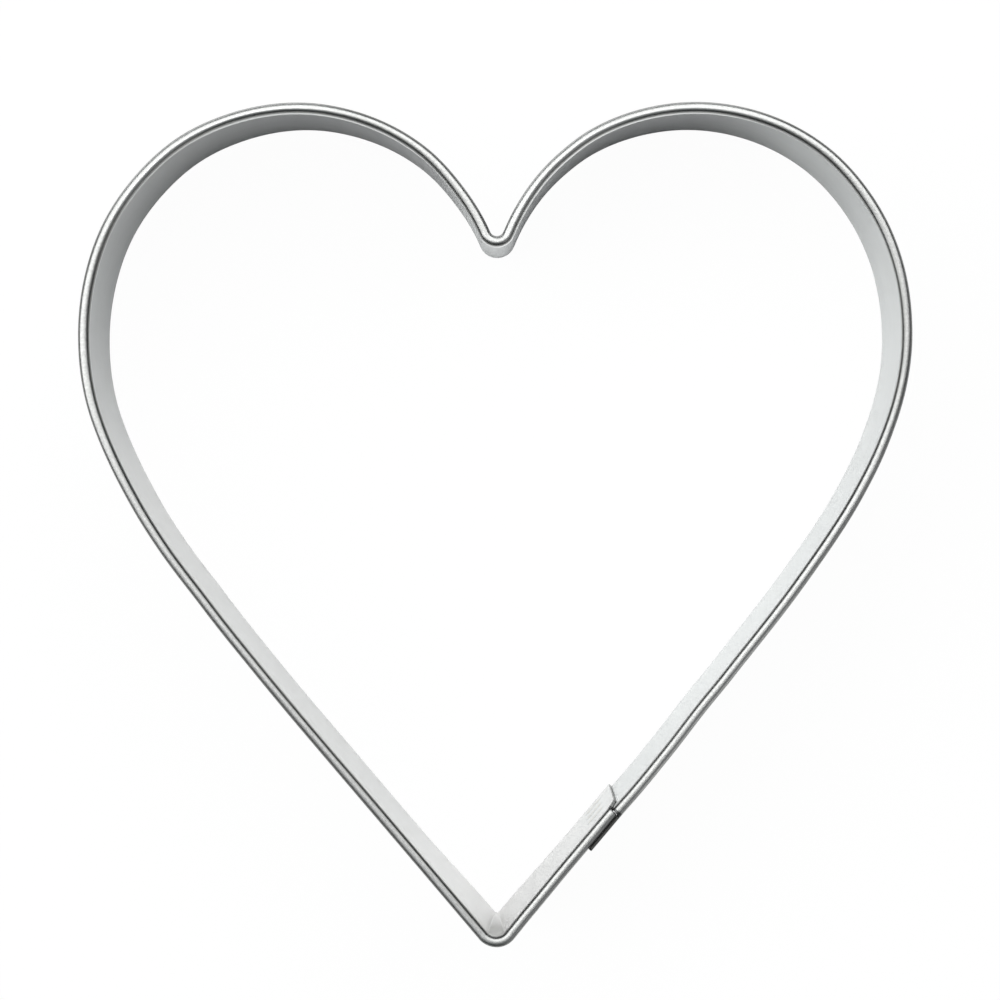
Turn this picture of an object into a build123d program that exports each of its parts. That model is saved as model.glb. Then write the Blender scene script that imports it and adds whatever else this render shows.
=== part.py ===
from build123d import *
from math import atan2, cos, degrees, radians, sin
import os

os.makedirs("parts", exist_ok=True)

# A heart-shaped cookie cutter: one strip of sheet steel stood on edge, hemmed
# outwards along the rim, with its two ends lapped and spot welded on a flank.
# The cutting edge stands on Z = 0, the rim is at the top, the tip points to -Y.

# Strip, in millimetres
sheet = 0.3
band_height = 25.0
hem_gap = 0.5
hem_drop = 2.2

# Radii of the rim's outer face, from the tip round one lobe to the notch
tip_radius = 2.25
easing_radius = 180.0
flank_radius = 45.7
shoulder_radius = 25.25
lobe_radius = 20.36
notch_radius = 0.6

# How far the straight flank rises above +X, then how far each arc turns, in degrees
flank_heading = 49.75
easing_angle = 6.4
flank_angle = 14.8
shoulder_angle = 41.9
lobe_angle = 134.1
half_circle_angle = 180.0

# Lap on the right flank, measured along it from the end of the tip bend. The strip's
# outer end stands outside the other one and comes back to the outline past the lap.
lap_start = 11.2
lap_length = 5.1
lap_clearance = 0.05
return_start = 18.0
hem_setback = 0.7
hem_slant = 0.3
rim_split = 0.25
tab_corner_drop = 2.8

# Spot welds through both sheets of the lap
weld_radius = 1.25
weld_dimple = 0.04
weld_rows = 3
weld_first_height = 4.8
weld_pitch = 6.0

# Overrun of every cut
overrun = 5.0

# Sizes that follow
bead_width = hem_gap + 2 * sheet
crown_radius = bead_width / 2
crown_height = band_height - crown_radius
hem_foot = band_height - hem_drop
lap_shift = sheet + lap_clearance
lap_depth = lap_shift + sheet
lap_width = lap_shift + bead_width
lap_end = lap_start + lap_length
hem_end = lap_end - hem_setback
crown_start = hem_end + rim_split
tongue_top = crown_height - lap_clearance
weld_station = lap_start + lap_length / 2

# The arcs of one side, from the flank to the notch, as radius and turn
side_arcs = [
    (easing_radius, easing_angle),
    (flank_radius, flank_angle),
    (shoulder_radius, shoulder_angle),
    (lobe_radius, lobe_angle),
]
notch_half_angle = flank_heading + sum(turn for _, turn in side_arcs) - half_circle_angle


def arc_reach(radius, start_heading, turn):
    """X and Y covered by an arc that leaves on a heading and turns left."""
    start = radians(start_heading)
    end = radians(start_heading + turn)
    return radius * (sin(end) - sin(start)), radius * (cos(start) - cos(end))


def side_reach(arcs):
    """X and Y covered from the tip to the end of the arcs, without the straight flank."""
    x, y = arc_reach(tip_radius, 0, flank_heading)
    heading = flank_heading
    for radius, turn in arcs:
        step_x, step_y = arc_reach(radius, heading, turn)
        x, y, heading = x + step_x, y + step_y, heading + turn
    return x, y


# The straight flank is as long as it takes for the notch to end on the mirror axis
flank_rise = radians(flank_heading)
notch_arc = (-notch_radius, -notch_half_angle)
flank_length = -side_reach([*side_arcs, notch_arc])[0] / cos(flank_rise)

# The tip and the tops of the lobes lie equally far from the origin
lobe_top_arc = (lobe_radius, lobe_angle - notch_half_angle)
heart_length = side_reach([*side_arcs[:-1], lobe_top_arc])[1] + flank_length * sin(flank_rise)
tip_centre = Vector(0, tip_radius - heart_length / 2)

along_flank = Vector(cos(flank_rise), sin(flank_rise))
into_heart = Vector(-sin(flank_rise), cos(flank_rise))
tip_bend_end = tip_centre - into_heart * tip_radius

# Past the lap two like arcs, one left and one right, bring the strip back to the outline
return_length = flank_length - return_start
return_rise = 2 * atan2(lap_shift, return_length)
return_radius = return_length / (2 * sin(return_rise))


def flank_point(station, depth=0):
    """Point of the right flank on the ground, at a depth inside the rim's outer face."""
    return tip_bend_end + along_flank * station + into_heart * depth


def along_wall(depth):
    """Plane of the flank's wall: X is the station, Y is the height, Z points outwards."""
    return Plane(origin=flank_point(0, depth), x_dir=along_flank, z_dir=-into_heart)


def hemmed_section(station, shift=0):
    """Sheet folded over outwards at the rim, across the flank, moved outwards by a shift."""
    wall_inside = bead_width - shift
    wall_outside = wall_inside - sheet
    middle = crown_radius - shift
    flap_inside = sheet - shift
    across_flank = Plane(origin=flank_point(station), x_dir=into_heart, z_dir=along_flank)
    with BuildSketch(across_flank) as section:
        with BuildLine():
            Polyline(
                (wall_inside, crown_height),
                (wall_inside, 0),
                (wall_outside, 0),
                (wall_outside, crown_height),
            )
            ThreePointArc(
                (wall_outside, crown_height),
                (middle, band_height - sheet),
                (flap_inside, crown_height),
            )
            Polyline(
                (flap_inside, crown_height),
                (flap_inside, hem_foot),
                (-shift, hem_foot),
                (-shift, crown_height),
            )
            ThreePointArc(
                (-shift, crown_height),
                (middle, band_height),
                (wall_inside, crown_height),
            )
        make_face()
    return section.sketch


def cut_off(station, side):
    """Plan of all that lies to one side of a slanted line across the lap."""
    across = (into_heart * lap_width + along_flank * hem_slant).normalized() * overrun
    line_end = flank_point(station, bead_width)
    beyond = along_flank * (side * (lap_length + overrun))
    with BuildSketch() as plan:
        with BuildLine():
            Polyline(
                line_end + across,
                line_end - across,
                line_end - across + beyond,
                line_end + across + beyond,
                close=True,
            )
        make_face()
    return plan.sketch


def draw_tongue(low):
    """Stretch of the outer end, past its fold, from a height up to the fold."""
    with Locations(((lap_start + crown_start) / 2, (low + tongue_top) / 2)):
        Rectangle(crown_start - lap_start, tongue_top - low)


def draw_welds():
    """Row of round welds, one above the other, in the middle of the lap."""
    with Locations((weld_station, weld_first_height)):
        for row in range(weld_rows):
            with Locations((0, row * weld_pitch)):
                Circle(weld_radius)


# Inner end of the strip: the hem stops on a slant, the wall runs on as a tab with a
# corner cut off
with BuildPart() as inner_lap:
    extrude(hemmed_section(lap_start), amount=lap_length)
    extrude(cut_off(hem_end, 1), amount=band_height + overrun, both=True, mode=Mode.SUBTRACT)
    with BuildSketch(along_wall(bead_width)):
        with BuildLine():
            Polyline(
                (hem_end - hem_slant, 0),
                (lap_end, 0),
                (lap_end, band_height - tab_corner_drop),
                (hem_end, crown_height),
                (hem_end - hem_slant, crown_height),
                close=True,
            )
        make_face()
    extrude(amount=sheet)

# Outer end of the strip: past the cut fold, its wall runs on inside the other end's
# hem and its flap runs on outside that hem
with BuildPart() as outer_lap:
    extrude(hemmed_section(lap_start, lap_shift), amount=return_start - lap_start)
    extrude(cut_off(crown_start, -1), amount=band_height + overrun, both=True, mode=Mode.SUBTRACT)
    with BuildSketch(along_wall(bead_width - lap_shift)):
        draw_tongue(0)
    extrude(amount=sheet)
    with BuildSketch(along_wall(sheet - lap_shift)):
        draw_tongue(hem_foot)
    extrude(amount=sheet)

with BuildPart() as band:
    # Whole run, from the lap's outer end round the heart to its inner end
    with BuildLine():
        bend = JernArc(
            flank_point(return_start, -lap_shift), along_flank, return_radius, degrees(return_rise)
        )
        bend = JernArc(bend @ 1, bend % 1, return_radius, -degrees(return_rise))
        for radius, turn in side_arcs:
            bend = JernArc(bend @ 1, bend % 1, radius, turn)
        bend = JernArc(bend @ 1, bend % 1, notch_radius, -2 * notch_half_angle)
        for radius, turn in reversed(side_arcs):
            bend = JernArc(bend @ 1, bend % 1, radius, turn)
        bend = Line(bend @ 1, bend @ 1 + (bend % 1) * flank_length)
        bend = JernArc(bend @ 1, bend % 1, tip_radius, 2 * flank_heading)
        Line(bend @ 1, flank_point(lap_start))
    sweep(hemmed_section(return_start, lap_shift))
    add(inner_lap.part)
    add(outer_lap.part)
    # Seats of the weld nuggets, through both sheets
    with BuildSketch(along_wall(bead_width)):
        draw_welds()
    extrude(amount=lap_depth, mode=Mode.SUBTRACT)

with BuildPart() as spot_welds:
    with BuildSketch(along_wall(bead_width - weld_dimple)):
        draw_welds()
    extrude(amount=lap_depth - 2 * weld_dimple)

print("heart length", round(heart_length, 2), "straight flank", round(flank_length, 2))

for name, piece in (("band", band), ("spot_welds", spot_welds)):
    piece.part.label = name
    export_step(piece.part, f"parts/{name}.step")
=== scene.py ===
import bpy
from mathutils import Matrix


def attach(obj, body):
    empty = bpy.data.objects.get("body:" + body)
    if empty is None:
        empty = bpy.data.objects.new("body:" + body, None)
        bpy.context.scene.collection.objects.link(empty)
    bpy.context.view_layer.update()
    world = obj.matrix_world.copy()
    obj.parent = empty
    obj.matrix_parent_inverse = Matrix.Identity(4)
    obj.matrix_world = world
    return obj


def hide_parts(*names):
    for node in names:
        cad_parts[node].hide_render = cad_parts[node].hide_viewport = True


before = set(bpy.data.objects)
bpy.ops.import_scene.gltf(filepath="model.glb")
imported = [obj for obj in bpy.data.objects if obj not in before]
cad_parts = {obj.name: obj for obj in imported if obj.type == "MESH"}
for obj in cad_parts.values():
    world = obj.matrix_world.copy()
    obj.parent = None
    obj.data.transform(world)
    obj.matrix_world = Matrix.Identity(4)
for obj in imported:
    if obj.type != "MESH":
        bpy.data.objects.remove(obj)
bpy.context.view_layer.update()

import math

import bpy
import numpy as np
from mathutils import Matrix, Vector

# A heart-shaped cookie cutter. A flat blank of sheet steel is cut to its outline,
# then one node tree hems it along the rim and bends it round the heart.

MM = 0.001
DEGREE = math.pi / 180

# Strip, as in the solid model
SHEET = 0.3 * MM
BAND_HEIGHT = 25.0 * MM
HEM_GAP = 0.5 * MM
HEM_DROP = 2.2 * MM
BEAD_WIDTH = HEM_GAP + 2 * SHEET
CROWN_RADIUS = BEAD_WIDTH / 2
CROWN_HEIGHT = BAND_HEIGHT - CROWN_RADIUS
HEM_FOOT = BAND_HEIGHT - HEM_DROP

# Radii of the rim's outer face and how far each arc turns
TIP_RADIUS = 2.25 * MM
NOTCH_RADIUS = 0.6 * MM
SIDE_ARCS = (
    ("easing", 180.0 * MM, 6.4 * DEGREE),
    ("flank", 45.7 * MM, 14.8 * DEGREE),
    ("shoulder", 25.25 * MM, 41.9 * DEGREE),
    ("lobe", 20.36 * MM, 134.1 * DEGREE),
)
FLANK_HEADING = 49.75 * DEGREE
NOTCH_HALF_ANGLE = FLANK_HEADING + sum(turn for _, _, turn in SIDE_ARCS) - math.pi

# Lap on the right flank, as stations from the end of the tip bend
LAP_START = 11.2 * MM
LAP_END = LAP_START + 5.1 * MM
LAP_SHIFT = SHEET + 0.05 * MM
LAP_WIDTH = LAP_SHIFT + BEAD_WIDTH
RETURN_START = 18.0 * MM
HEM_END = LAP_END - 0.7 * MM
CROWN_START = HEM_END + 0.08 * MM
HEM_SLANT = 0.3 * MM
TAB_CORNER = BAND_HEIGHT - 2.8 * MM
WALL_TONGUE_TOP = BAND_HEIGHT - 2.0 * MM
FLAP_TONGUE_TURN = 140 * DEGREE

# Spot welds
WELD_RADIUS = 1.25 * MM
WELD_ROWS = 3
WELD_FIRST_HEIGHT = 4.8 * MM
WELD_PITCH = 6.0 * MM
WELD_PROUD = 0.004 * MM
WELD_ROUNDING = 0.02 * MM
WELD_STATION = (LAP_START + LAP_END) / 2

# How the real cutter strays from its plan: its cut edges, its tip, its notch and the
# round of its rim, which a power below one flattens on top
EDGE_ROUNDING = 0.05 * MM
TIP_FACET = 0.3 * MM
TIP_PINCH_DROP = 3.5 * MM
LEAN_RUN = 10 * MM
SLIDE_RUN = 7 * MM
CROWN_POWER = 0.9
NOTCH_SLIP = 0.167 * MM
NOTCH_SLIP_RUN = 12 * MM

# Slow unevenness of the cutting edge and of the rim's height: its size, the length of
# its wave and its phase, and the run over which it fades out at the lap
EDGE_WANDER = (0.05 * MM, 90 * MM, 0.7)
RIM_WANDER = (0.012 * MM, 130 * MM, 2.1)
CALM_RUN = 12 * MM

# How far the rim stands outside its plan, by station, both in millimetres
STRAYS = (
    (0, -0.143), (15.5, -0.143), (18.5, -0.09), (21, -0.075), (25, -0.01), (30, -0.066),
    (35, -0.13), (43, -0.063), (48, -0.061), (55, -0.115), (58, -0.094), (63, -0.126),
    (71, -0.072), (78, -0.009), (85, -0.065), (91, -0.002), (101, -0.05), (107, -0.038),
    (115, 0.026), (119, -0.066), (129, -0.1), (134, -0.097), (140, 0.086), (150, 0.0),
    (160, -0.11), (165, -0.065), (171, -0.155), (179, -0.056), (187, -0.064), (196, 0.042),
    (203, 0.007), (210, 0.111), (217, -0.039), (224, -0.095), (232, -0.04), (250, -0.053),
    (258.9, -0.045), (261.2, -0.03), (265, -0.085), (271, -0.143), (280, -0.143),
)

# How much narrower than its plan the rim's crown is, by station, both in millimetres.
# The wall comes back to its plan in a bevel just below the crown.
SQUEEZES = (
    (0, 0), (50, 0), (57, 0.03), (63, 0.08), (72, 0.08), (80, 0.045), (86, 0.01), (92, 0.04),
    (97, 0.04), (103, 0.08), (109, 0.105), (120, 0.14), (127, 0.11), (131.5, 0.065), (137, 0.065),
    (143, 0.11), (150, 0.12), (160, 0.14), (166, 0.095), (172, 0.085), (178, 0.03), (189, 0.01),
    (200, 0.03), (206, 0.05), (212, 0.075), (223, 0.09), (235, 0.095), (241, 0.07), (252, 0.08),
    (258, 0.08), (262, 0), (280, 0),
)
SQUEEZE_DROP = 0.4 * MM

# Sheet in the flat: X runs along the strip, Y up the wall and over the hem
FOLD_RADIUS = CROWN_RADIUS - SHEET / 2
FOLD_LENGTH = math.pi * FOLD_RADIUS
FLAT_HEIGHT = CROWN_HEIGHT + FOLD_LENGTH + CROWN_HEIGHT - HEM_FOOT

# Camera straight above, a little off the middle of the heart, and the frame round it
CAMERA_PLACE = Vector((0.933 * MM, 6.648 * MM, 499 * MM))
CAMERA_ROLL = 0.1117 * DEGREE
CAMERA_SHIFT = (-0.00524, -0.04475)
LENS = 178.38
SENSOR = 36.0

# Tones of the wall: its two mottled tones, then painted light on the left side and near the tip,
# painted shade in the lobes, a painted highlight on the bevel under the rim there, the heat of the
# welds, and painted shade in the corner of the tip
WALL_TONES = ((0.575, 0.588, 0.586, 1), (0.625, 0.635, 0.63, 1))
LEFT_PAINTED_LIGHT_TONE = (0.725, 0.712, 0.704, 1)
TIP_PAINTED_LIGHT_TONE = (0.83, 0.82, 0.812, 1)
LOBE_PAINTED_SHADE_TONE = (0.34, 0.345, 0.35, 1)
BEVEL_PAINTED_HIGHLIGHT_TONE = (0.95, 0.95, 0.94, 1)
HEAT_TONE = (0.46, 0.52, 0.52, 1)
TIP_CORNER_SHADE_TONE = (0.16, 0.16, 0.14, 1)

# Tones of the rim: its two speckled tones, then painted shade on its shoulders, painted highlights
# on its outer side, on the sides of the lobes' crests and in a line past the lap, and painted shade
# on the tongues at the lap. Then the cut edges of the wall and of the rim: rough sheared steel,
# darkened further as painted shade of the gaps beside them.
RIM_TONES = ((0.325, 0.325, 0.32, 1), (0.4, 0.4, 0.392, 1))
SHOULDER_PAINTED_SHADE_TONE = (0.16, 0.16, 0.155, 1)
OUTER_PAINTED_HIGHLIGHT_TONE = (0.7, 0.7, 0.69, 1)
CREST_PAINTED_HIGHLIGHT_TONE = (0.92, 0.92, 0.91, 1)
PAST_LAP_PAINTED_HIGHLIGHT_TONE = (0.7, 0.7, 0.68, 1)
TONGUE_PAINTED_SHADE_TONE = (0.1, 0.1, 0.1, 1)
CUT_AND_GAP_SHADE_TONES = ((0.3, 0.3, 0.295, 1), (0.06, 0.06, 0.058, 1))

# How much of each tone shows where its mask is full. The painted shade on the shoulders has one
# share near the lap and one away from it, and the outer one loses part of it on the lobes' crests.
# The left lobe's painted shade fades to a part. The strip's inner end shows part of the outer one's
# heat.
LEFT_PAINTED_LIGHT_SHARE = 0.5
TIP_PAINTED_LIGHT_SHARE = 0.55
HEAT_SHARE = 0.4
SHOULDER_SHADE_SHARES = (0.25, 0.8)
CREST_LOSS = 0.6
FADED_SHARE = 0.35
INNER_SHADE_SHARE = 0.8
OUTER_HIGHLIGHT_SHARE = 0.7
CREST_HIGHLIGHT_IN_SHARE = 0.6
INNER_HEAT = 0.4
TIP_CORNER_SHADE_SHARE = 0.5

# Bands round the rim, in millimetres past the line where the wall or the flap starts to
# turn: where each band starts, is full, starts to fade and ends. The rim as a whole and
# its top start and are full on both sides.
RIM_EDGE = (-0.3, 0.15)
TOP_EDGE = (0.15, 0.5)
# Bands of painted shade on the shoulders and the inner side, then of painted highlights on the
# outer side, the crests' sides, past the lap and on the bevel under the rim
SHOULDER_IN = (0, 0.1, 0.3, 0.42)
SHOULDER_OUT = (0, 0.1, 0.28, 0.4)
INNER_SHADE_BAND = (0.2, 0.35, 0.45, 0.62)
OUTER_HIGHLIGHT_BAND = (0.36, 0.44, 0.56, 0.66)
CREST_HIGHLIGHT_IN = (0.38, 0.45, 0.56, 0.66)
CREST_HIGHLIGHT_OUT = (0.26, 0.36, 0.42, 0.5)
PAST_LAP_HIGHLIGHT_BAND = (0.27, 0.33, 0.37, 0.43)
BEVEL_IN = (-0.7, -0.5, -0.08, 0.04)

# Stretches of the strip, likewise, in millimetres from its outer end, or back from its
# inner end where they are negative. One with two numbers is a single slope.
AWAY_FROM_LAP = (26, 42, -18, -13)
PAST_LAP = (5, 8, 24, 38)
RIGHT_BEND = (46, 56, 62, 72)
LEFT_FLANK = (-88, -78, -22, -17)
UPPER_HALF = (44, 54, -45, -25)
RIGHT_CREST = (84, 92, 117, 119)
LEFT_CREST = (136, 142, 160, 168)
RIGHT_LOBE = (82, 92, 117, 119)
LEFT_LOBE = (121, 126, 176, 190)
LEFT_LOBE_FADE = (138, 156)
LEFT_SIDE = (172, 192)

# Reach of the tip's painted light and of the painted shade in its corner along the strip, how that
# shade thickens up the wall, and the reach of a weld's heat from its middle, all in millimetres
TIP_REACH = (3, 16)
TIP_CORNER_SHADE_REACH = (1.6, 2.4)
TIP_CORNER_SHADE_RISE = (0.15 * BAND_HEIGHT / MM, 0.8 * BAND_HEIGHT / MM)
HEAT_REACH = (0.8 * WELD_RADIUS / MM, 3.6)

# Where the tongues' painted shade ends beside the two cuts through the rim, in millimetres
SPLIT_EDGE = (0.1, 0.18)
HEM_CUT_EDGE = (-0.26, -0.16)

# Part of a noise's range that is stretched over two tones
NOISE_RANGE = (0.35, 0.65)

# Roughness of the wall, and what smudges, mottle, heat, cut edges, the rim and its top add,
# and the height of the grain in the rim's top
WALL_ROUGHNESS = 0.28
SMUDGE_ROUGHNESS = 0.04
MOTTLE_ROUGHNESS = 0.02
HEAT_ROUGHNESS = 0.05
CUT_ROUGHNESS = 0.2
RIM_ROUGHNESS = -0.03
TOP_ROUGHNESS = 0.12
RIM_RELIEF = 0.002 * MM

# Tones of the welds: the two of their middle, then straw and the blue of their ring. Their
# roughness, what their speckle adds to it, and how high it stands.
WELD_TONES = ((0.54, 0.54, 0.53, 1), (0.6, 0.59, 0.57, 1))
STRAW_TONE = (0.6, 0.55, 0.46, 1)
BLUE_TONE = (0.5, 0.54, 0.57, 1)
WELD_ROUGHNESS = 0.24
SPECKLE_ROUGHNESS = 0.12
WELD_RELIEF = 0.01 * MM

# Soft box hung level above the cutter: how far it reaches ahead, behind and to its left
# and right as seen from below, and how far it is turned from north towards west
BOX_HEIGHT = 620 * MM
BOX_AHEAD = 44 * DEGREE
BOX_BEHIND = 2 * DEGREE
BOX_LEFT = 66 * DEGREE
BOX_RIGHT = 50 * DEGREE
BOX_TURN = 20 * DEGREE
BOX_GLOW = 3.65
BOX_COLOUR = (0.99, 1.0, 1.0)

# Pale card, upright, out from the right flank
CARD_DISTANCE = 900 * MM
CARD_WIDTH = 800 * MM
CARD_HEIGHT = 650 * MM
CARD_GLOW = 0.4
CARD_COLOUR = (1.0, 1.0, 1.0)

# Room and floor, and how much of the floor's white camera and mirror rays see
ROOM_GLOW = 0.03
ROOM_TONE = (0.7, 0.95, 1.0, 1)
FLOOR_RADIUS = 240 * MM
FLOOR_TONES = ((0.88, 0.88, 0.88, 1), (0.9, 0.9, 0.9, 1))
FLOOR_WHITE = 0.97
MIRRORED_WHITE = 0.03
PLAIN_WHITE = (1, 1, 1, 1)


class Wire:
    """A socket of a node tree. Sums and products of wires add Math or Vector Math nodes."""

    def __init__(self, graph, socket):
        self.graph = graph
        self.socket = socket

    def is_vector(self):
        return self.socket.type in ("VECTOR", "RGBA")

    def joined(self, operation, other, swapped=False):
        first, second = (other, self) if swapped else (self, other)
        vectors = [isinstance(v, Wire) and v.is_vector() for v in (first, second)]
        if not any(vectors):
            return self.graph.add("ShaderNodeMath", {"operation": operation}, {0: first, 1: second})
        if all(vectors):
            return self.graph.add(
                "ShaderNodeVectorMath", {"operation": operation}, {0: first, 1: second}
            )
        vector, number = (first, second) if vectors[0] else (second, first)
        return self.graph.add(
            "ShaderNodeVectorMath", {"operation": "SCALE"}, {0: vector, "Scale": number}
        )

    def __add__(self, other):
        return self.joined("ADD", other)

    def __radd__(self, other):
        return self.joined("ADD", other, True)

    def __sub__(self, other):
        return self.joined("SUBTRACT", other)

    def __rsub__(self, other):
        return self.joined("SUBTRACT", other, True)

    def __mul__(self, other):
        return self.joined("MULTIPLY", other)

    def __rmul__(self, other):
        return self.joined("MULTIPLY", other, True)

    def __truediv__(self, other):
        return self.joined("DIVIDE", other)

    def __rtruediv__(self, other):
        return self.joined("DIVIDE", other, True)

    def __neg__(self):
        return self * -1

    def call(self, operation, *others):
        values = dict(enumerate((self, *others)))
        return self.graph.add("ShaderNodeMath", {"operation": operation}, values)

    def clamped(self, low=0.0, high=1.0):
        return self.call("MAXIMUM", low).call("MINIMUM", high)

    def ramp(self, low, high, first=0.0, last=1.0):
        """Straight line from first at low to last at high, flat beyond."""
        values = {"Value": self, "From Min": low, "From Max": high, "To Min": first, "To Max": last}
        return self.graph.add("ShaderNodeMapRange", {}, values)

    def within(self, start, full, over, end):
        """One from full to over, with a straight line to nothing at the start and the end."""
        return self.ramp(start, full) * self.ramp(over, end, 1.0, 0.0)

    def part(self, axis):
        return self.graph.add("ShaderNodeSeparateXYZ", {}, {0: self}, out=axis)


class Graph:
    """A node tree being built."""

    def __init__(self, tree):
        self.tree = tree

    def add(self, kind, settings=None, values=None, out=0):
        """Adds one node: its settings first, then its sockets, as values or wires."""
        node = self.tree.nodes.new(kind)
        for name, value in (settings or {}).items():
            setattr(node, name, value)
        for name, value in (values or {}).items():
            if isinstance(name, int):
                socket = node.inputs[name]
            else:
                socket = next(s for s in node.inputs if s.name == name and s.enabled)
            if isinstance(value, Wire):
                self.tree.links.new(value.socket, socket)
            else:
                socket.default_value = value
        if isinstance(out, int):
            return Wire(self, node.outputs[out])
        return Wire(self, next(s for s in node.outputs if s.name == out and s.enabled))

    def vector(self, x=0.0, y=0.0, z=0.0):
        return self.add("ShaderNodeCombineXYZ", {}, {"X": x, "Y": y, "Z": z})

    def mix(self, share, first, second):
        """Colour between two colours."""
        node = {"data_type": "RGBA", "clamp_factor": True}
        values = {"Factor": share, "A": first, "B": second}
        return self.add("ShaderNodeMix", node, values, out="Result")

    def noise(self, where, scale, detail=2.0, roughness=0.5):
        values = {"Vector": where, "Scale": scale, "Detail": detail, "Roughness": roughness}
        return self.add("ShaderNodeTexNoise", {}, values)

    def given(self):
        """Inputs of a geometry tree by name."""
        source = self.tree.nodes.new("NodeGroupInput")
        return {socket.name: Wire(self, socket) for socket in source.outputs}

    def finish(self, kind, wire):
        """Ends the tree in an output node."""
        sink = self.tree.nodes.new(kind)
        self.tree.links.new(wire.socket, sink.inputs[0])


def in_scene(name, data):
    """New object of a mesh, a light or a camera, in the scene."""
    thing = bpy.data.objects.new(name, data)
    bpy.context.scene.collection.objects.link(thing)
    return thing


def part_way(length):
    """Falls smoothly from one to nothing as its argument goes from nothing to a length."""

    def share(distance):
        x = min(max(distance / length, 0.0), 1.0)
        return (1 - x) ** 2 * (1 + 2 * x)

    return share


def flank_length():
    """Straight part of a flank, as long as it takes for the notch to end on the mirror axis."""
    x = TIP_RADIUS * math.sin(FLANK_HEADING)
    heading = FLANK_HEADING
    arcs = [(radius, turn) for _, radius, turn in SIDE_ARCS]
    for radius, turn in [*arcs, (-NOTCH_RADIUS, -NOTCH_HALF_ANGLE)]:
        x += radius * (math.sin(heading + turn) - math.sin(heading))
        heading += turn
    return -x / math.cos(FLANK_HEADING)


def heart_length():
    """From the tip to the tops of the lobes."""
    y = TIP_RADIUS * (1 - math.cos(FLANK_HEADING)) + flank_length() * math.sin(FLANK_HEADING)
    heading = FLANK_HEADING
    for _, radius, turn in SIDE_ARCS:
        end = min(heading + turn, math.pi)
        y += radius * (math.cos(heading) - math.cos(end))
        heading = end
    return y


ALONG_FLANK = Vector((math.cos(FLANK_HEADING), math.sin(FLANK_HEADING), 0))
INTO_HEART = Vector((-math.sin(FLANK_HEADING), math.cos(FLANK_HEADING), 0))
TIP_CENTRE = Vector((0, TIP_RADIUS - heart_length() / 2, 0))
TIP_BEND_END = TIP_CENTRE - INTO_HEART * TIP_RADIUS


def legs():
    """Legs of the strip from its outer end round the heart: name, length, turn and steps."""
    side = [(name, radius * turn, turn) for name, radius, turn in SIDE_ARCS]
    spacing = {"easing": 0.4 * MM, "flank": 0.3 * MM, "shoulder": 0.27 * MM, "lobe": 0.25 * MM}
    arcs = [(name, length, turn, round(length / spacing[name])) for name, length, turn in side]
    notch = 2 * NOTCH_HALF_ANGLE
    tip = 2 * FLANK_HEADING
    straight = flank_length()
    near_tip = 1.5 * MM
    return [
        ("tongue", CROWN_START - LAP_START, 0, 12),
        ("right", straight - CROWN_START, 0, 40),
        *arcs,
        ("notch", NOTCH_RADIUS * notch, -notch, 44),
        *reversed(arcs),
        ("left", straight - near_tip, 0, 72),
        ("left", near_tip, 0, 16),
        ("tip", TIP_RADIUS * tip, tip, 48),
        ("foot", near_tip, 0, 16),
        ("foot", LAP_START - near_tip, 0, 30),
        ("lap", HEM_END - LAP_START, 0, 8),
        ("tab", LAP_END - HEM_END, 0, 6),
    ]


def plan_route():
    """Stations of the rim's outer face: distance along the strip, place, leg and share of it."""
    place = TIP_BEND_END + ALONG_FLANK * LAP_START
    heading = FLANK_HEADING
    stations = [(0.0, place.copy(), "tongue", 0.0)]
    gone = 0.0
    for name, length, turn, steps in legs():
        step = length / steps
        if turn:
            step = 2 * length / turn * math.sin(turn / steps / 2)
        for i in range(steps):
            middle = heading + turn * (i + 0.5) / steps
            place = place + Vector((math.cos(middle), math.sin(middle), 0)) * step
            gone += step
            stations.append((gone, place.copy(), name, (i + 1) / steps))
        heading += turn
    return stations


def wander(distance, length, phase):
    """Slow unevenness of hand work, between -1 and 1."""
    waves = ((1.0, 0.5), (2.3, 0.3), (5.1, 0.2))
    turn = math.tau * distance / length + phase
    return sum(size * math.sin(turn * n) for n, size in waves)


def between(table, station):
    """Value of a table in millimetres at a station, smoothly from each row to the next."""
    for (low, first), (high, last) in zip(table, table[1:]):
        if low * MM <= station <= high * MM:
            share = part_way((high - low) * MM)(station - low * MM)
            return (first * share + last * (1 - share)) * MM
    return table[-1][1] * MM


def lap_offset(gone):
    """How far the outer end stands outside the outline, past the lap less and less."""
    run = flank_length() - RETURN_START
    x = (gone + LAP_START - RETURN_START) / run
    if x < 0.5:
        return LAP_SHIFT * (1 - 2 * max(x, 0.0) ** 2)
    return LAP_SHIFT * 2 * max(1 - x, 0.0) ** 2


def tip_pinch(name, share):
    """Flattens the round of the tip below the rim to a facet with a crease at each end."""
    if name != "tip":
        return Vector((0, 0, 0))
    radius = TIP_RADIUS - BEAD_WIDTH
    angle = (2 * share - 1) * FLANK_HEADING
    across = (2 * share - 1) * math.sin(FLANK_HEADING) - math.sin(angle)
    return Vector((across, math.cos(angle) - math.cos(FLANK_HEADING), 0)) * radius


def tip_lean(name, share, distance):
    """How far the cutting edge near the tip leans out from under the rim and towards it."""
    radius = TIP_RADIUS - BEAD_WIDTH
    half_width = TIP_FACET / 2 - radius * math.sin(FLANK_HEADING)
    drop = radius * (math.cos(FLANK_HEADING) - 1)
    if name == "tip":
        return Vector(((2 * share - 1) * half_width, drop, 0))
    crease = Vector((half_width, drop, 0))
    lean = INTO_HEART * crease.dot(INTO_HEART) * part_way(LEAN_RUN)(distance)
    lean += ALONG_FLANK * crease.dot(ALONG_FLANK) * part_way(SLIDE_RUN)(distance)
    if name == "left":
        lean.x = -lean.x
    return lean


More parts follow.
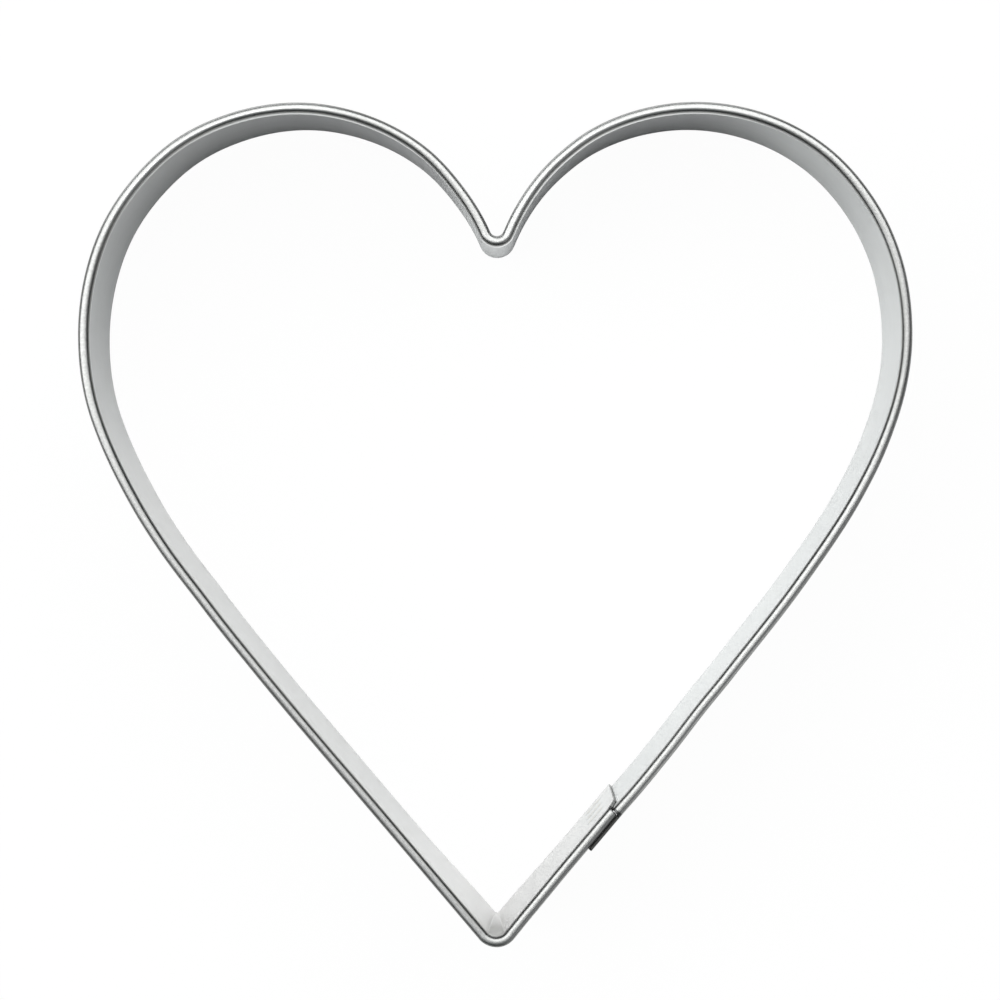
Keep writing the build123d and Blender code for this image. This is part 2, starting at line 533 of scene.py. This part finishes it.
def inward_at(stations, i):
    """Level direction into the heart at a station."""
    before = stations[max(i - 1, 0)][1]
    after = stations[min(i + 1, len(stations) - 1)][1]
    along = (after - before).normalized()
    return Vector((-along.y, along.x, 0))


def make_line(name, places, carried):
    """Open line through places, with vectors that its points carry."""
    mesh = bpy.data.meshes.new(name)
    mesh.from_pydata(places, [(i, i + 1) for i in range(len(places) - 1)], [])
    for attribute, rows in carried.items():
        layer = mesh.attributes.new(attribute, "FLOAT_VECTOR", "POINT")
        layer.data.foreach_set("vector", np.array([tuple(row) for row in rows], float).ravel())
    return in_scene(name, mesh)


def make_route():
    """Open line of the rim's outer face, which carries how the strip strays from it.

    Lean is that of the cutting edge, and pinch that of the wall just below the rim. Form
    holds a shift inwards, a rise of the rim and a squeeze of its wall side."""
    stations = plan_route()
    whole = stations[-1][0]
    names = [name for _, _, name, _ in stations]
    tip_from = names.index("tip") - 1
    tip_to = len(names) - 1 - names[::-1].index("tip")
    notches = [gone for gone, _, name, _ in stations if name == "notch"]
    notch = sum(notches) / len(notches)
    edge_size, *edge_wave = EDGE_WANDER
    rim_size, *rim_wave = RIM_WANDER
    places, lean, form, pinch = [], [], [], []
    for i, (gone, place, name, share) in enumerate(stations):
        slip = Vector((NOTCH_SLIP, 0, 0)) * part_way(NOTCH_SLIP_RUN)(abs(gone - notch))
        places.append(place + slip)
        if i == tip_from:
            name, share = "tip", 0.0
        distance = abs(gone - stations[tip_from if name == "left" else tip_to][0])
        # Unevenness fades out at the lap and at the tip, where the shape is set
        ends = min(gone - (CROWN_START - LAP_START), whole - gone) / CALM_RUN
        calm = 0.0 if name == "tip" else min(max(ends, 0.0), 1.0)
        uneven = inward_at(stations, i) * (edge_size * calm * wander(gone, *edge_wave))
        lean.append(tip_lean(name, share, distance) + uneven)
        shift = -between(STRAYS, gone + LAP_START) - lap_offset(gone)
        rise = rim_size * calm * (wander(gone, *rim_wave) - 1)
        form.append((shift, rise, between(SQUEEZES, gone + LAP_START)))
        pinch.append(tip_pinch(name, share))
    return make_line("route", places, {"lean": lean, "form": form, "pinch": pinch}), stations


def fold(y, z):
    """Depth behind the rim's outer face of a place in the flat sheet."""
    turn = min(max((y - CROWN_HEIGHT) / FOLD_RADIUS, 0.0), math.pi)
    cosine = math.cos(turn)
    return CROWN_RADIUS + (FOLD_RADIUS + z) * math.copysign(abs(cosine) ** CROWN_POWER, cosine)


def sheet_rows():
    """Heights in the flat sheet, closer together at its edges and round the fold."""
    wall = [0, 0.15, 0.5, 1.5, 3.5, 7.5, 12, 16, 18.5, 20, 21, 21.7, 22.3]
    rows = [height * MM for height in wall]
    rows += [WALL_TONGUE_TOP, WALL_TONGUE_TOP + 0.5 * MM]
    rows += [CROWN_HEIGHT - SQUEEZE_DROP * (1 - share) for share in (0, 0.33, 0.67)]
    fold_steps = 18
    rows += [CROWN_HEIGHT + FOLD_LENGTH * i / fold_steps for i in range(fold_steps + 1)]
    flap = CROWN_HEIGHT + FOLD_LENGTH
    rows += [flap + share * (FLAT_HEIGHT - flap) for share in (0.3, 0.6, 0.85, 0.94, 1.0)]
    return rows


def corners_out(points, outline):
    """How far each corner of an outline moves where its edges move outwards by one."""
    normals = {}
    for a, b in outline:
        run = points[b] - points[a]
        normal = Vector((run.y, -run.x)).normalized()
        normals.setdefault(a, []).append(normal)
        normals.setdefault(b, []).append(normal)
    pairs = normals.items()
    return {i: (first + second) / (1 + first.dot(second)) for i, (first, second) in pairs}


def thicken(points, quads, outline, ring_steps=3):
    """Closed sheet with rounded edges from the quads of its flat outline.

    Gives vertices, the flat point each comes from, how far each is on the sheet's
    edge, and faces that point outwards once the sheet has been bent."""
    spread = corners_out(points, outline)
    used = sorted({i for quad in quads for i in quad})
    half = SHEET / 2
    vertices, source, on_edge = [], [], []
    index = {}

    def put(key, flat, side, point, edge):
        index[key] = len(vertices)
        vertices.append((flat.x, flat.y, side))
        source.append(point)
        on_edge.append(edge)

    for side in (1, -1):
        for i in used:
            flat = points[i] - spread[i] * EDGE_ROUNDING if i in spread else points[i]
            put((i, side), flat, side * half, i, 0.0)
    angles = [math.pi / 2 * (k + 1) / ring_steps for k in range(ring_steps)]
    rings = [(math.sin(a) - 1, half - EDGE_ROUNDING * (1 - math.cos(a))) for a in angles]
    rings += [(back, -height) for back, height in reversed(rings)]
    for i, outwards in spread.items():
        for k, (back, height) in enumerate(rings):
            put((i, "ring", k), points[i] + outwards * (EDGE_ROUNDING * back), height, i, 1.0)
    faces = [[index[i, 1] for i in quad] for quad in quads]
    faces += [[index[i, -1] for i in reversed(quad)] for quad in quads]
    for a, b in outline:
        keys = [[(i, 1), *((i, "ring", k) for k in range(len(rings))), (i, -1)] for i in (a, b)]
        for k in range(len(rings) + 1):
            corners = (keys[1][k], keys[0][k], keys[0][k + 1], keys[1][k + 1])
            faces.append([index[key] for key in corners])
    return vertices, source, on_edge, [face[::-1] for face in faces]


def kept_grid(columns, rows, kept):
    """Kept cells of a grid: their corners, then quads and outline as numbers of corners."""
    quads, edges = [], set()
    for i in range(columns - 1):
        for j in range(rows - 1):
            if kept(i, j):
                corners = [(i, j), (i + 1, j), (i + 1, j + 1), (i, j + 1)]
                quads.append(corners)
                edges.update((corners[k], corners[(k + 1) % 4]) for k in range(4))
    names = sorted({corner for quad in quads for corner in quad})
    number = {corner: n for n, corner in enumerate(names)}
    outline = sorted((number[a], number[b]) for a, b in edges if (b, a) not in edges)
    return names, [[number[corner] for corner in quad] for quad in quads], outline


def make_blank(stations):
    """Flat sheet with the cuts at its two ends."""
    columns = [s[0] for s in stations]
    rows = sheet_rows()
    crown_column = legs()[0][3]
    hem_column = len(columns) - 1 - legs()[-1][3]
    flap_tongue = CROWN_HEIGHT + FOLD_RADIUS * FLAP_TONGUE_TURN
    tiny = 1e-7

    def kept(i, j):
        low, high = rows[j], rows[j + 1]
        if i < crown_column:
            return high < WALL_TONGUE_TOP + tiny or low > flap_tongue - tiny
        return i < hem_column or high < CROWN_HEIGHT + tiny

    def flat_place(i, j):
        """The tab's top falls from the rim towards the end of the strip."""
        x, y = columns[i], rows[j]
        if i > hem_column:
            share = (x - columns[hem_column]) / (columns[-1] - columns[hem_column])
            y *= 1 + share * (TAB_CORNER / CROWN_HEIGHT - 1)
        return Vector((x, y))

    names, quads, outline = kept_grid(len(columns), len(rows), kept)
    points = [flat_place(i, j) for i, j in names]
    vertices, source, on_edge, faces = thicken(points, quads, outline)
    # The cuts through the rim slant with the depth
    for n, (x, y, z) in enumerate(vertices):
        i, j = names[source[n]]
        if i in (crown_column, hem_column) and rows[j] > WALL_TONGUE_TOP - tiny:
            outside = LAP_SHIFT if i == crown_column else 0.0
            depth = fold(y, z) - outside
            vertices[n] = (x - HEM_SLANT * (BEAD_WIDTH - depth) / LAP_WIDTH, y, z)
    mesh = bpy.data.meshes.new("blank")
    mesh.from_pydata(vertices, [], faces)
    mesh.attributes.new("cut", "FLOAT", "POINT").data.foreach_set("value", on_edge)
    return in_scene("blank", mesh)


def geometry_tree(name, sockets):
    """Tree with named inputs and one geometry out. Gives it and its inputs' identifiers."""
    tree = bpy.data.node_groups.new(name, "GeometryNodeTree")
    tree.interface.new_socket("Geometry", in_out="INPUT", socket_type="NodeSocketGeometry")
    names = {}
    for label, kind in sockets.items():
        socket = tree.interface.new_socket(label, in_out="INPUT", socket_type="NodeSocket" + kind)
        names[label] = socket.identifier
    tree.interface.new_socket("Geometry", in_out="OUTPUT", socket_type="NodeSocketGeometry")
    return tree, names


def hemmed(given, up, out):
    """Folds the sheet in half a circle, flattened on top, round the fold's axis.

    Gives how far up past the wall a place is in the flat, which way it faces across the
    rim, and its depth and height."""
    past = up - given["Crown Height"]
    turn = (past / given["Fold Radius"]).clamped(0, math.pi)
    rest = past - turn * given["Fold Radius"]
    swing = given["Fold Radius"] + out
    cosine = turn.call("COSINE")
    across = cosine.call("ABSOLUTE").call("POWER", given["Fold Power"]) * cosine.call("SIGN")
    rise = turn.call("SINE").call("MAXIMUM", 0.0).call("POWER", given["Fold Power"])
    depth = given["Fold Depth"] + swing * across
    height = given["Crown Height"] + swing * rise + rest * cosine
    return past, across, depth, height


def route_reader(g, route, along):
    """Reads what the route carries at the sheet's distance along it."""
    line = g.add("GeometryNodeObjectInfo", {}, {"Object": route}, out="Geometry")
    curve = g.add("GeometryNodeMeshToCurve", {}, {"Mesh": line})
    kind = {"data_type": "FLOAT_VECTOR"}

    def sampled(attribute, out="Value"):
        named = g.add("GeometryNodeInputNamedAttribute", kind, {"Name": attribute}, out="Attribute")
        values = {"Curves": curve, "Value": named, "Length": along}
        return g.add("GeometryNodeSampleCurve", {"mode": "LENGTH", **kind}, values, out=out)

    return sampled


def hem_and_bend_tree():
    """Folds the flat sheet's hem, then lays the sheet along the route."""
    sizes = ("Crown Height", "Fold Radius", "Fold Depth", "Fold Power", "Band Height")
    drops = ("Pinch Drop", "Squeeze Drop")
    floats = {size: "Float" for size in sizes + drops}
    sockets = {"Route": "Object", **floats, "Material": "Material"}
    tree, names = geometry_tree("hem_and_bend", sockets)
    g = Graph(tree)
    given = g.given()
    place = g.add("GeometryNodeInputPosition")
    along, up, out = (place.part(axis) for axis in range(3))
    past, across, depth, height = hemmed(given, up, out)
    sampled = route_reader(g, given["Route"], along)
    lean, form, pinch = sampled("lean"), sampled("form"), sampled("pinch")
    on_route, heading = sampled("lean", "Position"), sampled("lean", "Tangent")
    inward = g.vector(-heading.part(1), heading.part(0), 0.0)
    # The lean fades up the wall, and the pinch and the squeeze fade down it
    low = 1 - height / given["Band Height"]
    pinched = (-past / given["Pinch Drop"]).clamped()
    squeezed = (-past / given["Squeeze Drop"]).ramp(0.0, 1.0, 1.0, 0.0)
    depth = depth - form.part(2) * (0.5 + across * 0.5) * squeezed
    bent = on_route + inward * (depth + form.part(0)) + lean * low + pinch * pinched
    bent = bent + g.vector(0.0, 0.0, height + form.part(1) * (1 - low))
    named = g.add(
        "GeometryNodeStoreNamedAttribute",
        {"data_type": "FLOAT2", "domain": "CORNER"},
        {"Geometry": given["Geometry"], "Name": "strip", "Value": g.vector(along, up, 0.0)},
    )
    moved = g.add("GeometryNodeSetPosition", {}, {"Geometry": named, "Position": bent})
    smooth = g.add("GeometryNodeSetShadeSmooth", {}, {"Geometry": moved, "Shade Smooth": True})
    real = g.add("GeometryNodeRealizeInstances", {}, {"Geometry": smooth})
    steel = {"Geometry": real, "Material": given["Material"]}
    g.finish("NodeGroupOutput", g.add("GeometryNodeSetMaterial", {}, steel))
    return tree, names


def through_tree(source, tree, names, values, name):
    """Plain mesh object of what a node tree makes of an object, which is then removed."""
    modifier = source.modifiers.new("build", "NODES")
    modifier.node_group = tree
    for socket, value in values.items():
        modifier[names[socket]] = value
    graph = bpy.context.evaluated_depsgraph_get()
    mesh = bpy.data.meshes.new_from_object(source.evaluated_get(graph), depsgraph=graph)
    mesh.name = name
    source.modifiers.remove(modifier)
    bpy.data.objects.remove(source)
    return in_scene(name, mesh)


def make_band(material):
    """The whole strip, hemmed, bent and lapped."""
    route, stations = make_route()
    tree, names = hem_and_bend_tree()
    values = {
        "Route": route,
        "Crown Height": CROWN_HEIGHT,
        "Fold Radius": FOLD_RADIUS,
        "Fold Depth": CROWN_RADIUS,
        "Fold Power": CROWN_POWER,
        "Band Height": BAND_HEIGHT,
        "Pinch Drop": TIP_PINCH_DROP,
        "Squeeze Drop": SQUEEZE_DROP,
        "Material": material,
    }
    band = through_tree(make_blank(stations), tree, names, values, "hemmed_band")
    bpy.data.objects.remove(route)
    return band


def make_nugget():
    """One weld lying flat: a plug whose two faces are dished inside a faint ring."""
    half = (LAP_SHIFT + SHEET) / 2
    # Share of the radius, and how proud of the sheets the face stands there
    dish = [(0.0, 1.0), (0.35, 1.2), (0.62, 2.0), (0.8, 3.6), (0.9, 4.4), (0.96, 3.6)]
    profile = [(share * WELD_RADIUS, half + proud * WELD_PROUD) for share, proud in dish]
    profile.append((WELD_RADIUS, half - WELD_ROUNDING))
    profile += [(r, -z) for r, z in reversed(profile)]
    sides = 48
    vertices, faces, ring_share = [], [], []
    for r, z in profile:
        for k in range(sides if r else 1):
            angle = math.tau * k / sides
            vertices.append((r * math.cos(angle), r * math.sin(angle), z))
            ring_share.append(r / WELD_RADIUS)
    starts = [0]
    for r, _ in profile:
        starts.append(starts[-1] + (sides if r else 1))
    for n in range(len(profile) - 1):
        here, there = starts[n], starts[n + 1]
        for k in range(sides):
            after = (k + 1) % sides
            if not profile[n][0]:
                faces.append((here, there + k, there + after))
            elif not profile[n + 1][0]:
                faces.append((here + k, there, here + after))
            else:
                faces.append((here + k, there + k, there + after, here + after))
    mesh = bpy.data.meshes.new("nugget")
    mesh.from_pydata(vertices, [], faces)
    mesh.attributes.new("ring", "FLOAT", "POINT").data.foreach_set("value", ring_share)
    mesh.polygons.foreach_set("use_smooth", [True] * len(mesh.polygons))
    return in_scene("nugget", mesh)


def weld_row_tree():
    """Repeats a weld up the lap, one above the other."""
    sockets = {"Rows": "Int", "First": "Vector", "Pitch": "Float", "Turn": "Rotation"}
    tree, names = geometry_tree("weld_row", {**sockets, "Material": "Material"})
    g = Graph(tree)
    given = g.given()
    pitch = g.vector(0.0, 0.0, given["Pitch"])
    values = {"Count": given["Rows"], "Start Location": given["First"], "Offset": pitch}
    line = g.add("GeometryNodeMeshLine", {"mode": "OFFSET"}, values)
    values = {"Points": line, "Instance": given["Geometry"], "Rotation": given["Turn"]}
    row = g.add("GeometryNodeInstanceOnPoints", {}, values)
    real = g.add("GeometryNodeRealizeInstances", {}, {"Geometry": row})
    steel = {"Geometry": real, "Material": given["Material"]}
    g.finish("NodeGroupOutput", g.add("GeometryNodeSetMaterial", {}, steel))
    return tree, names


def make_welds(material):
    """Row of welds through the two sheets of the lap."""
    tree, names = weld_row_tree()
    middle = BEAD_WIDTH - (LAP_SHIFT + SHEET) / 2 - between(STRAYS, WELD_STATION)
    first = TIP_BEND_END + ALONG_FLANK * WELD_STATION + INTO_HEART * middle
    first.z = WELD_FIRST_HEIGHT
    axes = Matrix((ALONG_FLANK, Vector((0, 0, 1)), -INTO_HEART)).transposed()
    values = {
        "Rows": WELD_ROWS,
        "First": first,
        "Pitch": WELD_PITCH,
        "Turn": axes.to_euler(),
        "Material": material,
    }
    return through_tree(make_nugget(), tree, names, values, "weld_nuggets")


def new_material(name):
    material = bpy.data.materials.new(name)
    material.use_nodes = True
    material.node_tree.nodes.clear()
    return material, Graph(material.node_tree)


class StripPlace:
    """Place in the flat strip, in millimetres: along it from its outer end, up it, past the
    lines where the wall and the flap start to turn, and away from the tip."""

    def __init__(self, g, whole):
        strip = g.add("ShaderNodeUVMap", {"uv_map": "strip"})
        self.whole = whole / MM
        self.along, self.up = strip.part(0) / MM, strip.part(1) / MM
        self.past_wall = self.up - CROWN_HEIGHT / MM
        self.past_flap = (CROWN_HEIGHT + FOLD_LENGTH) / MM - self.up
        tip = self.whole - (LAP_END + TIP_RADIUS * FLANK_HEADING) / MM
        self.from_tip = (self.along - tip).call("ABSOLUTE")

    def on(self, stretch):
        """One on a stretch of the strip."""
        return self.along.within(*(x + self.whole if x < 0 else x for x in stretch))


def weld_heat(place, station):
    """One on each weld of the row, falling to nothing round it."""
    x = place.along - station / MM
    heat = None
    for row in range(WELD_ROWS):
        y = place.up - (WELD_FIRST_HEIGHT + row * WELD_PITCH) / MM
        near = (x * x + y * y).call("SQRT").ramp(*HEAT_REACH, 1.0, 0.0)
        heat = near if heat is None else heat.call("MAXIMUM", near)
    return heat


def wall_tone(g, place, smudge, heat):
    """Bare wall, mottled, with painted light on the left and near the tip, and painted shade in the
    lobes below a painted highlight on the bevel.
    """
    tone = g.mix(smudge.ramp(*NOISE_RANGE), *WALL_TONES)
    # Painted light: the wall is lighter on the left side
    tone = g.mix(place.along.ramp(*LEFT_SIDE) * LEFT_PAINTED_LIGHT_SHARE, tone, LEFT_PAINTED_LIGHT_TONE)
    # Painted light: the wall is lighter near the tip
    tone = g.mix(place.from_tip.ramp(*TIP_REACH, 1.0, 0.0) * TIP_PAINTED_LIGHT_SHARE, tone, TIP_PAINTED_LIGHT_TONE)
    # Painted shade in the lobes, below a painted highlight on the bevel under the rim
    left_lobe = place.on(LEFT_LOBE) * place.along.ramp(*LEFT_LOBE_FADE, 1.0, FADED_SHARE)
    lobe_shade_and_highlight = g.mix(place.past_wall.within(*BEVEL_IN), LOBE_PAINTED_SHADE_TONE, BEVEL_PAINTED_HIGHLIGHT_TONE)
    tone = g.mix(place.on(RIGHT_LOBE) + left_lobe, tone, lobe_shade_and_highlight)
    return g.mix(heat * HEAT_SHARE, tone, HEAT_TONE)


def rim_painted_light(g, place, tone):
    """Painted light on the rim over its tone: painted shade on its shoulders and on the inner side
    of two stretches, and painted highlights on its outer side, its crests' sides and past the lap.
    """
    crests = place.on(RIGHT_CREST) + place.on(LEFT_CREST)
    # Painted shade on the rim's shoulders, and on its inner side along two stretches
    shoulder_out = place.past_flap.within(*SHOULDER_OUT) * (1 - crests * CREST_LOSS)
    shoulder_shade = place.past_wall.within(*SHOULDER_IN) + shoulder_out
    shoulder_shade = shoulder_shade * place.on(AWAY_FROM_LAP).ramp(0.0, 1.0, *SHOULDER_SHADE_SHARES)
    inner_shade = place.on(RIGHT_BEND).call("MAXIMUM", place.on(LEFT_FLANK))
    inner_shade = inner_shade * place.past_wall.within(*INNER_SHADE_BAND)
    tone = g.mix(shoulder_shade.call("MAXIMUM", inner_shade * INNER_SHADE_SHARE), tone, SHOULDER_PAINTED_SHADE_TONE)
    # Painted highlight on the rim's outer side, away from its upper half
    outer_highlight = place.past_flap.within(*OUTER_HIGHLIGHT_BAND) * (1 - place.on(UPPER_HALF))
    tone = g.mix(outer_highlight * OUTER_HIGHLIGHT_SHARE, tone, OUTER_PAINTED_HIGHLIGHT_TONE)
    # Painted highlights on both sides of the lobes' crests
    sides = place.past_wall.within(*CREST_HIGHLIGHT_IN) * CREST_HIGHLIGHT_IN_SHARE
    sides = sides + place.past_flap.within(*CREST_HIGHLIGHT_OUT)
    tone = g.mix(sides * crests, tone, CREST_PAINTED_HIGHLIGHT_TONE)
    # Painted highlight in a line on the rim's outer side past the lap
    past_lap_highlight = place.past_flap.within(*PAST_LAP_HIGHLIGHT_BAND) * place.on(PAST_LAP)
    return g.mix(past_lap_highlight, tone, PAST_LAP_PAINTED_HIGHLIGHT_TONE)


def on_tongues(place):
    """One on the two ends of the strip that run on past the cuts through the rim."""
    split, hem_cut = (CROWN_START - LAP_START) / MM, place.whole - (LAP_END - HEM_END) / MM
    return 1 - place.on([split + x for x in SPLIT_EDGE] + [hem_cut + x for x in HEM_CUT_EDGE])


def band_steel(whole):
    """Bright rolled stainless strip with a duller, speckled rim, rough cut edges darkened partly by
    painted shade, and painted light and shade on the wall and the rim.
    """
    material, g = new_material("band_steel")
    place = StripPlace(g, whole)
    where = g.add("ShaderNodeTexCoord", {}, {}, out="Object")
    # Grain along the strip and fine marks across it, then what doesn't follow it
    grain = g.noise(g.vector(place.along * 0.3, place.up * 16), 1.0, detail=3.0, roughness=0.6)
    across = g.noise(g.vector(place.along * 5.2, place.up * 1.5), 1.0)
    smudge = g.noise(where, 85.0, detail=3.0, roughness=0.55)
    mottle = g.noise(where, 420.0)
    speckled = g.mix(g.noise(where, 4200.0).ramp(*NOISE_RANGE), *RIM_TONES)
    cut = g.add("ShaderNodeAttribute", {"attribute_name": "cut"}, {}, out="Fac").ramp(0.35, 0.9)
    rim = place.past_wall.ramp(*RIM_EDGE) * place.past_flap.ramp(*RIM_EDGE)
    top = place.past_wall.ramp(*TOP_EDGE) * place.past_flap.ramp(*TOP_EDGE)
    outer = weld_heat(place, WELD_STATION - LAP_START)
    inner = weld_heat(place, whole - (LAP_END - WELD_STATION))
    heat = outer.call("MAXIMUM", inner * INNER_HEAT) * smudge.ramp(0.3, 0.7, 0.5, 1.0)
    folded = rim.ramp(0.0, 0.1)
    colour = rim_painted_light(g, place, g.mix(rim, wall_tone(g, place, smudge, heat), speckled))
    # Painted shade on the tongues beside the two cuts through the rim
    colour = g.mix(on_tongues(place) * folded, colour, TONGUE_PAINTED_SHADE_TONE)
    # Cut edges: rough sheared steel, darker still on the rim as painted shade of the gaps there
    colour = g.mix(cut, colour, g.mix(folded, *CUT_AND_GAP_SHADE_TONES))
    rough = WALL_ROUGHNESS + smudge.ramp(0.3, 0.7) * SMUDGE_ROUGHNESS
    rough = rough + mottle.ramp(0.4, 0.7) * MOTTLE_ROUGHNESS + heat * HEAT_ROUGHNESS
    rough = rough + cut * CUT_ROUGHNESS + rim * RIM_ROUGHNESS + top * TOP_ROUGHNESS
    relief = (grain * 0.6 + across * 0.4) * top
    values = {"Strength": 0.2, "Distance": RIM_RELIEF, "Height": relief}
    normal = g.add("ShaderNodeBump", {}, values)
    values = {"Base Color": colour, "Metallic": 1.0, "Roughness": rough, "Normal": normal}
    steel = g.add("ShaderNodeBsdfPrincipled", {}, values)
    # Painted shade in the corner of the tip, a dark matt share that grows towards the rim
    in_tip = place.from_tip.ramp(*TIP_CORNER_SHADE_REACH, 1.0, 0.0) * (1 - rim)
    tip_corner_shade = in_tip * place.up.ramp(*TIP_CORNER_SHADE_RISE) * TIP_CORNER_SHADE_SHARE
    shade_matt = g.add("ShaderNodeBsdfDiffuse", {}, {"Color": TIP_CORNER_SHADE_TONE})
    steel_with_shade = g.add("ShaderNodeMixShader", {}, {0: tip_corner_shade, 1: steel, 2: shade_matt})
    g.finish("ShaderNodeOutputMaterial", steel_with_shade)
    return material


def weld_steel():
    """Spot weld: matt grey, straw and blue towards its ring."""
    material, g = new_material("weld_steel")
    ring = g.add("ShaderNodeAttribute", {"attribute_name": "ring"}, {}, out="Fac")
    where = g.add("ShaderNodeTexCoord", {}, {}, out="Object")
    speckle = g.noise(where, 5200.0, detail=3.0)
    blotch = g.noise(where, 1500.0)
    middle = g.mix(blotch.ramp(*NOISE_RANGE), *WELD_TONES)
    straw = g.mix(ring.ramp(0.45, 0.75), middle, STRAW_TONE)
    colour = g.mix(ring.ramp(0.78, 0.95), straw, BLUE_TONE)
    rough = WELD_ROUGHNESS + speckle * SPECKLE_ROUGHNESS
    values = {"Strength": 0.3, "Distance": WELD_RELIEF, "Height": speckle}
    normal = g.add("ShaderNodeBump", {}, values)
    values = {"Base Color": colour, "Metallic": 1.0, "Roughness": rough, "Normal": normal}
    g.finish("ShaderNodeOutputMaterial", g.add("ShaderNodeBsdfPrincipled", {}, values))
    return material


def white_table():
    """Matt white table. Camera, mirror and glass rays see part of it as plain white."""
    material, g = new_material("white_table")
    where = g.add("ShaderNodeTexCoord", {}, {}, out="Object")
    colour = g.mix(g.noise(where, 9.0), *FLOOR_TONES)
    matt = g.add("ShaderNodeBsdfDiffuse", {}, {"Color": colour})
    glow = g.add("ShaderNodeEmission", {}, {"Color": PLAIN_WHITE, "Strength": 1.0})
    camera = g.add("ShaderNodeLightPath", {}, {}, out="Is Camera Ray")
    mirror = g.add("ShaderNodeLightPath", {}, {}, out="Is Glossy Ray")
    glass = g.add("ShaderNodeLightPath", {}, {}, out="Is Transmission Ray")
    share = camera * FLOOR_WHITE + (mirror + glass) * MIRRORED_WHITE
    mixed = g.add("ShaderNodeMixShader", {}, {0: share, 1: matt, 2: glow})
    g.finish("ShaderNodeOutputMaterial", mixed)
    return material


def make_floor():
    bpy.ops.mesh.primitive_circle_add(vertices=96, radius=FLOOR_RADIUS, fill_type="NGON")
    floor = bpy.context.object
    floor.name = "floor"
    floor.data.materials.append(white_table())


def make_panel(name, place, glow, width, height, colour):
    """Evenly lit rectangle; its place is that of its middle, facing down or to the side."""
    light = bpy.data.lights.new(name, "AREA")
    light.shape = "RECTANGLE"
    light.size, light.size_y = width, height
    light.energy = glow * math.pi * width * height
    light.color = colour
    in_scene(name, light).matrix_world = place


def make_lights():
    """Soft box overhead and a pale card low on the right."""
    ahead, behind = math.tan(BOX_AHEAD), -math.tan(BOX_BEHIND)
    right, left = math.tan(BOX_RIGHT), -math.tan(BOX_LEFT)
    middle = Vector(((right + left) / 2, (ahead + behind) / 2, 1)) * BOX_HEIGHT
    width, length = (right - left) * BOX_HEIGHT, (ahead - behind) * BOX_HEIGHT
    place = Matrix.Rotation(BOX_TURN, 4, "Z") @ Matrix.Translation(middle)
    make_panel("soft_box", place, BOX_GLOW, width, length, BOX_COLOUR)
    far = -INTO_HEART * CARD_DISTANCE
    far.z = CARD_HEIGHT / 2
    place = Matrix.Translation(far) @ (-INTO_HEART).to_track_quat("Z", "Y").to_matrix().to_4x4()
    make_panel("pale_card", place, CARD_GLOW, CARD_WIDTH, CARD_HEIGHT, CARD_COLOUR)


def make_room():
    """Dim room all round, which the camera sees as plain white."""
    world = bpy.data.worlds.new("room")
    world.use_nodes = True
    world.node_tree.nodes.clear()
    g = Graph(world.node_tree)
    camera = g.add("ShaderNodeLightPath", {}, {}, out="Is Camera Ray")
    dim = g.add("ShaderNodeBackground", {}, {"Color": ROOM_TONE, "Strength": ROOM_GLOW})
    white = g.add("ShaderNodeBackground", {}, {"Color": PLAIN_WHITE, "Strength": 1.0})
    seen = g.add("ShaderNodeMixShader", {}, {0: camera, 1: dim, 2: white})
    g.finish("ShaderNodeOutputWorld", seen)
    bpy.context.scene.world = world


def make_camera():
    data = bpy.data.cameras.new("camera")
    data.lens = LENS
    data.sensor_width = SENSOR
    data.shift_x, data.shift_y = CAMERA_SHIFT
    data.clip_start, data.clip_end = 0.01, 10
    camera = in_scene("camera", data)
    camera.location = CAMERA_PLACE
    camera.rotation_euler = (0, 0, -CAMERA_ROLL)
    bpy.context.scene.camera = camera


bpy.context.scene.view_settings.view_transform = "Standard"
make_camera()
make_floor()
make_lights()
make_room()

whole_length = plan_route()[-1][0]
hemmed_band = make_band(band_steel(whole_length))
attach(hemmed_band, "root")
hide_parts("band")

weld_nuggets = make_welds(weld_steel())
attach(weld_nuggets, "root")
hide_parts("spot_welds")
